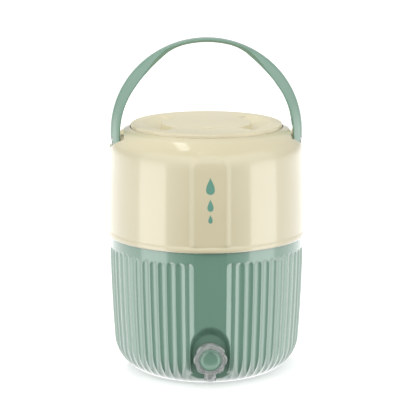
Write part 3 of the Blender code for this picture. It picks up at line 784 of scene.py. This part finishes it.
def lid_cap(material):
    turns = np.radians(lid_columns())
    steps = [0.0, 0.010, 0.020, 0.030, 0.038]
    steps += list(np.arange(0.0405, 0.0565, 0.00045)) + [0.0580, 0.0605, 0.0622]
    steps += list(np.arange(0.0630, 0.0656, 0.00025)) + list(np.arange(0.0664, 0.0935, 0.0016))
    steps += [0.0950, 0.1000, 0.1040]
    grid = []
    for radius in steps:
        x = radius * np.sin(turns)
        y = -radius * np.cos(turns)
        grid.append(np.stack([x, y, LID_TOP_Z - lid_depth(x, y)], axis=-1))
    rim = soft_path([
        (0.1046, LID_TOP_Z, 0.0), (0.1056, LID_TOP_Z, 0.0010), (0.1078, 0.3570, 0.0012),
        (LID_R, 0.3500, 0.0003), (0.1048, 0.3500, 0.0002), (0.1048, LID_UNDER_Z, 0.0),
        (0.1000, LID_UNDER_Z, 0.0),
    ], 5)
    for radius, height in rim:
        grid.append(np.stack([radius * np.sin(turns), -radius * np.cos(turns), np.full_like(turns, height)],
                             axis=-1))
    under = [0.0960, 0.0925, 0.0880, 0.0800, 0.0720, 0.0660, 0.0648, 0.0636, 0.0624, 0.0610, 0.0400, 0.0]
    for radius in under:
        x = radius * np.sin(turns)
        y = -radius * np.cos(turns)
        scale = (radius + 0.0022) / max(radius, 1e-6) if 0.0600 < radius < 0.0700 else 1.0
        pocket = lid_depth(x * scale, y * scale)
        grid.append(np.stack([x, y, np.minimum(LID_UNDER_Z, LID_TOP_Z - POCKET_WALL - pocket)], axis=-1))
    return grid_object("lid_cap", np.array(grid), material)


# ---------------------------------------------------------------------- tap

def tap_ring(material):
    """Clear screw ring with eight grip lobes and a ribbed front."""
    path = soft_path([
        (0.0208, -0.1401, 0.0002), (0.0157, -0.1401, 0.0003), (0.0157, -0.1436, 0.0008),
        (0.0172, -0.1437, 0.0006), (0.0190, -0.1429, 0.0006), (0.0207, -0.1436, 0.0008),
        (0.0236, -0.1422, 0.0014), (0.0236, -0.1366, 0.0006), (0.0208, -0.1366, 0.0002),
    ], 4, closed=True)
    turns = np.linspace(0.0, 2.0 * math.pi, 240, endpoint=False)
    lobes = 0.5 - 0.5 * np.cos(8.0 * turns)
    grid = []
    for radius, along in path:
        rim = float(smoothstep(radius, 0.0195, 0.0228))
        front = float(smoothstep(-along, 0.1400, 0.1428)) * float(smoothstep(radius, 0.0165, 0.0200))
        reach = radius - 0.0020 * rim * lobes ** 1.5
        depth = along + 0.0009 * front * lobes ** 2
        grid.append(np.stack([reach * np.cos(turns), depth, TAP_Z + reach * np.sin(turns)], axis=-1))
    return grid_object("tap_ring", np.array(grid), material, wrap_rows=True)


def tap_housing(material):
    """Clear valve chamber with its threaded barrel and the spout below it."""
    axis = (0.0, 0.0, TAP_Z)
    path = soft_path([
        (0.0098, -0.0930, 0.0004), (0.0098, -0.1203, 0.0), (0.0205, -0.1203, 0.0008),
        (0.0205, -0.1398, 0.0004), (0.0180, -0.1398, 0.0004), (0.0180, -0.1315, 0.0004),
        (0.0036, -0.1315, 0.0), (0.0036, -0.1300, 0.0), (0.0178, -0.1300, 0.0004),
        (0.0178, -0.1238, 0.0004), (0.0070, -0.1238, 0.0), (0.0070, -0.0930, 0.0003),
    ], 3, closed=True)
    housing = lathe("tap_housing", path, 96, material, "Y", axis, closed=True)
    spout = (0.0, SPOUT_Y, 0.0)
    path = soft_path([
        (0.0, 0.0145, 0.0), (0.0088, 0.0145, 0.0007), (0.0088, 0.0165, 0.0004), (0.0084, 0.0172, 0.0004),
        (0.0084, 0.0293, 0.0), (0.0, 0.0293, 0.0),
    ], 4)
    combine(housing, lathe("tool", path, 64, centre=spout), "UNION")
    combine(housing, rod(0.0066, 0.0100, TAP_Z - 0.0228, "Z", spout), "DIFFERENCE")
    return combine(housing, rod(0.0037, 0.0200, TAP_Z - 0.0160, "Z", spout), "DIFFERENCE")


def push_button(material):
    """Green push button with a raised rim and a dished middle."""
    path = soft_path([
        (0.0, -0.1408, 0.0), (0.0070, -0.1410, 0.0030), (0.0112, -0.1419, 0.0014),
        (0.0124, -0.1434, 0.0008), (0.0146, -0.1434, 0.0008), (0.0153, -0.1424, 0.0008),
        (0.0153, -0.1397, 0.0003), (0.0176, -0.1397, 0.0004), (0.0176, -0.1380, 0.0004),
        (0.0153, -0.1380, 0.0002), (0.0153, -0.1365, 0.0003), (0.0130, -0.1365, 0.0003),
        (0.0130, -0.1391, 0.0004), (0.0, -0.1391, 0.0),
    ], 5)
    return lathe("push_button", path, 128, material, "Y", (0.0, 0.0, TAP_Z))


def valve_spring(material):
    """Coil between the chamber wall and the button, with its end turns closer together."""
    steps = 120
    grid = []
    for i in range(steps + 1):
        part = i / steps
        angle = 2.0 * math.pi * SPRING_TURNS * part
        outward = np.array([math.cos(angle), 0.0, math.sin(angle)])
        along = SPRING_BACK_Y + (SPRING_FRONT_Y - SPRING_BACK_Y) * float(smoothstep(part, 0.0, 1.0))
        centre = outward * SPRING_R + np.array([0.0, along, TAP_Z])
        around = np.linspace(0.0, 2.0 * math.pi, 8, endpoint=False)
        ring = centre + SPRING_WIRE * np.outer(np.cos(around), outward)
        ring[:, 1] += SPRING_WIRE * np.sin(around)
        grid.append(ring)
    return grid_object("valve_spring", np.array(grid), material, caps=True)


def drop_mark(material):
    """Three printed water drops, a plain mark on the front panel."""
    heights = [height for _, height in COVER_SHOULDER]
    radii = [radius for radius, _ in COVER_SHOULDER]
    pieces = []
    for middle, tall in ((0.2930, 0.0120), (0.2665, 0.0085), (0.2475, 0.0060)):
        wide = tall * 0.72
        outline = []
        for angle in np.linspace(0.0, 2.0 * math.pi, 48, endpoint=False):
            squeeze = math.sin(angle / 2.0) ** 1.6
            outline.append((wide * math.sin(angle) * squeeze, middle + tall * math.cos(angle)))
        rows = []
        for lift in (0.0, PRINT_THICK):
            row = []
            for x, z in outline:
                reach = float(np.interp(z, heights, radii)) + float(arch_rise(x, z))
                row.append((x, -(math.sqrt(reach ** 2 - x * x) - PRINT_SUNK + lift), z))
            rows.append(row)
        pieces.append(grid_object("drop", np.array(rows), None, caps=True))
    mark = merge(*pieces)
    mark.name = "drop_mark"
    mark.data.materials.append(material)
    return shade(mark, 30.0)


# -------------------------------------------------------------------- stage

def make_floor():
    mesh = bpy.data.meshes.new("floor")
    half = 6.0
    mesh.from_pydata([(-half, -half, 0.0), (half, -half, 0.0), (half, half, 0.0), (-half, half, 0.0)], [],
                     [(0, 1, 2, 3)])
    floor = link_mesh("floor", mesh, None)
    material, tree, shader = new_material("pale_floor")
    shader.inputs["Base Color"].default_value = (0.90, 0.90, 0.90, 1.0)
    shader.inputs["Roughness"].default_value = 0.9
    shader.inputs["Specular IOR Level"].default_value = 0.1
    shader.inputs["Emission Color"].default_value = (1.0, 1.0, 1.0, 1.0)
    shader.inputs["Emission Strength"].default_value = 0.45
    bounce = tree.nodes.new("ShaderNodeBsdfDiffuse")
    bounce.inputs["Color"].default_value = (0.38, 0.38, 0.38, 1.0)
    rays = tree.nodes.new("ShaderNodeLightPath")
    blend = tree.nodes.new("ShaderNodeMixShader")
    tree.links.new(rays.outputs["Is Camera Ray"], blend.inputs["Fac"])
    tree.links.new(bounce.outputs["BSDF"], blend.inputs[1])
    tree.links.new(shader.outputs["BSDF"], blend.inputs[2])
    tree.links.new(blend.outputs["Shader"], tree.nodes["Material Output"].inputs["Surface"])
    mesh.materials.append(material)
    floor.visible_glossy = False


def ring_level(tree, share, stops):
    """Brightness round the horizon, from 0 in front of the jug to 1 straight behind it."""
    node = tree.nodes.new("ShaderNodeValToRGB")
    node.color_ramp.interpolation = "LINEAR"
    ramp = node.color_ramp.elements
    ramp[0].position, ramp[1].position = stops[0][0], stops[-1][0]
    for position, _ in stops[1:-1]:
        ramp.new(position)
    for element, (_, value) in zip(ramp, stops):
        element.color = (value, value, value, 1.0)
    tree.links.new(share, node.inputs["Fac"])
    return node.outputs["Color"]


def height_share(tree, height, low, high):
    """0 below one height of the view direction, 1 above another."""
    node = tree.nodes.new("ShaderNodeMapRange")
    node.interpolation_type = "SMOOTHSTEP"
    node.inputs["From Min"].default_value = low
    node.inputs["From Max"].default_value = high
    tree.links.new(height, node.inputs["Value"])
    return node.outputs["Result"]


def blend_levels(tree, factor, first, second):
    node = tree.nodes.new("ShaderNodeMix")
    node.data_type = "FLOAT"
    tree.links.new(factor, node.inputs["Factor"])
    for socket, value in ((node.inputs["A"], first), (node.inputs["B"], second)):
        if isinstance(value, float):
            socket.default_value = value
        else:
            tree.links.new(value, socket)
    return node.outputs["Result"]


def make_world():
    """White studio: darker in front, two wide soft panels at the sides, dimmer above the horizon behind."""
    world = bpy.data.worlds.new("studio")
    bpy.context.scene.world = world
    world.use_nodes = True
    tree = world.node_tree
    nodes, links = tree.nodes, tree.links
    place = nodes.new("ShaderNodeTexCoord")
    split = nodes.new("ShaderNodeSeparateXYZ")
    links.new(place.outputs["Generated"], split.inputs["Vector"])

    def math_node(operation, first, second=None):
        node = nodes.new("ShaderNodeMath")
        node.operation = operation
        for socket, value in zip(node.inputs, (first, second)):
            if isinstance(value, (int, float)):
                socket.default_value = value
            elif value is not None:
                links.new(value, socket)
        return node.outputs["Value"]

    front = math_node("MULTIPLY", split.outputs["Y"], -1.0)
    turn = math_node("ARCTAN2", split.outputs["X"], front)
    share = math_node("DIVIDE", math_node("ABSOLUTE", turn), math.pi)
    low_ring = ring_level(tree, share, LOW_RING)
    high_ring = ring_level(tree, share, HIGH_RING)
    ring = blend_levels(tree, height_share(tree, split.outputs["Z"], *HORIZON_BAND), low_ring, high_ring)
    ring = math_node("MULTIPLY", ring, RING_POWER)
    level = blend_levels(tree, height_share(tree, split.outputs["Z"], *SKY_BAND), ring, SKY_LEVEL)
    rays = nodes.new("ShaderNodeLightPath")
    seen = blend_levels(tree, rays.outputs["Is Camera Ray"], level, BACKGROUND_LEVEL)
    background = nodes["Background"]
    links.new(seen, background.inputs["Color"])
    background.inputs["Strength"].default_value = 1.0


def area_light(name, place, target, size, power, mirrored=True):
    light = bpy.data.lights.new(name, "AREA")
    light.shape = "RECTANGLE"
    light.size, light.size_y = size
    light.energy = power
    item = bpy.data.objects.new(name, light)
    item.location = place
    item.rotation_euler = (Vector(target) - Vector(place)).to_track_quat("-Z", "Y").to_euler()
    item.visible_glossy = mirrored
    bpy.context.scene.collection.objects.link(item)


def make_camera():
    camera = bpy.data.cameras.new("camera")
    camera.sensor_width = 36.0
    camera.lens = 158.28
    item = bpy.data.objects.new("camera", camera)
    item.location = (-0.0993, -2.5981, 0.7817)
    item.rotation_euler = (math.radians(90.0 - 11.976), 0.0, math.radians(-2.3))
    bpy.context.scene.collection.objects.link(item)
    bpy.context.scene.camera = item


def main():
    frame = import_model()
    finish = make_materials()
    left_screw = pivot_screw("pivot_screw_left_fine", -1.0, finish["steel"])
    right_screw = pivot_screw("pivot_screw_right_fine", 1.0, finish["steel"])
    spring = valve_spring(finish["steel"])
    pieces = [
        (body_shell(finish["green"]), "jug", "outer_body", "green_plastic"),
        (cover_shell(finish["cream"]), "jug", "upper_cover", "cream_plastic"),
        (carry_handle(finish["green"]), "handle", "handle", "green_plastic"),
        (lid_cap(finish["cream_lid"]), "lid", "lid_top", "cream_plastic"),
        (tap_ring(finish["clear"]), "jug", "tap_bezel", "clear_plastic"),
        (tap_housing(finish["clear"]), "jug", "tap_body", "clear_plastic"),
        (push_button(finish["green"]), "valve", "tap_button", "green_plastic"),
        (left_screw, "jug", "pivot_screw_left", "steel"),
        (right_screw, "jug", "pivot_screw_right", "steel"),
        (spring, "jug", "tap_spring", "steel"),
        (drop_mark(finish["print"]), "jug", None, "green_plastic"),
    ]
    for piece, body, node, slot in pieces:
        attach(piece, body)
        if node:
            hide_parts(node)
    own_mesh(spring)
    kept = {
        "green": ["base_plate"],
        "white": ["liner", "lid_plug", "pivot_bush_left", "pivot_bush_right", "tap_stem", "tap_lock_nut"],
        "steel": ["base_screw_1", "base_screw_2", "base_screw_3", "base_screw_4"],
        "silicone": ["lid_gasket", "tap_valve_seal", "tap_outer_gasket", "tap_inner_gasket", "stem_o_ring"],
        "foam": ["insulation", "lid_foam"],
    }
    for name, nodes in kept.items():
        for node in nodes:
            mesh = frame["nodes"][node].data
            mesh.materials.clear()
            mesh.materials.append(finish[name])
    make_floor()
    make_world()
    area_light("back_panel", (-0.5, 1.1, 1.6), (0.0, 0.0, 0.30), (0.9, 0.5), 15.0, mirrored=False)
    area_light("front_fill", (-0.5, -2.2, 2.3), (0.0, 0.0, 0.20), (2.2, 0.6), 5.0, mirrored=False)
    area_light("shoulder_strip", (-0.40, 0.05, 1.7), (0.0, 0.0, 0.30), (0.9, 0.2), 1.2)
    make_camera()
    bpy.context.scene.view_settings.view_transform = "Standard"


main()
